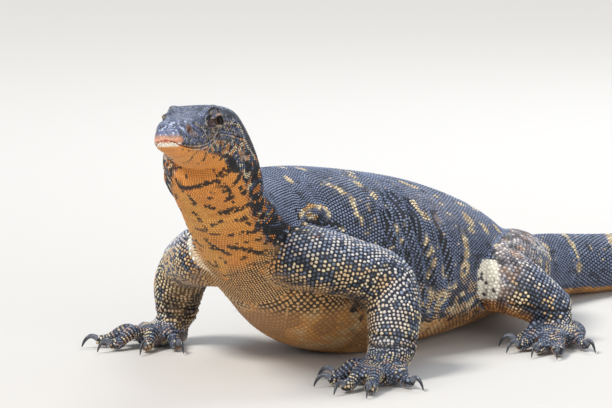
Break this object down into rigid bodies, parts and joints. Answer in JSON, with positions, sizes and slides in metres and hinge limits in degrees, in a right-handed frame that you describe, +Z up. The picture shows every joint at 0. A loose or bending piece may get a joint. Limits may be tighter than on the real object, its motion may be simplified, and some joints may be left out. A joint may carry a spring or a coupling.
{
  "type": "water monitor lizard",
  "caption": "Life-size still model of a water monitor lizard, standing with its head raised and turned, its belly and curved tail on the floor.",
  "frame": {"origin": "middle of the whole footprint, at floor level", "axes": "+X from the hips to the shoulders, +Y the animal's left, +Z up"},
  "size_m": [1.368, 0.8616, 0.2361],
  "materials": {
    "skin": "satin, finely scaled",
    "eye": "wet gloss",
    "claw": "smooth horn"
  },
  "bodies": {
    "root": {"head": "skin", "neck": "skin", "torso": "skin", "tail_1": "skin", "tail_2": "skin", "tail_3": "skin", "tail_4": "skin", "upper_arm_left": "skin", "forearm_left": "skin", "hand_left": "skin", "thigh_left": "skin", "shin_left": "skin", "foot_left": "skin", "upper_arm_right": "skin", "forearm_right": "skin", "hand_right": "skin", "thigh_right": "skin", "shin_right": "skin", "foot_right": "skin", "eye_left": "eye", "eye_right": "eye", "claw_hand_left_1": "claw", "claw_hand_left_2": "claw", "claw_hand_left_3": "claw", "claw_hand_left_4": "claw", "claw_hand_left_5": "claw", "claw_hand_right_1": "claw", "claw_hand_right_2": "claw", "claw_hand_right_3": "claw", "claw_hand_right_4": "claw", "claw_hand_right_5": "claw", "claw_foot_left_1": "claw", "claw_foot_left_2": "claw", "claw_foot_left_3": "claw", "claw_foot_left_4": "claw", "claw_foot_left_5": "claw", "claw_foot_right_1": "claw", "claw_foot_right_2": "claw", "claw_foot_right_3": "claw", "claw_foot_right_4": "claw", "claw_foot_right_5": "claw"}
  },
  "joints": []
}
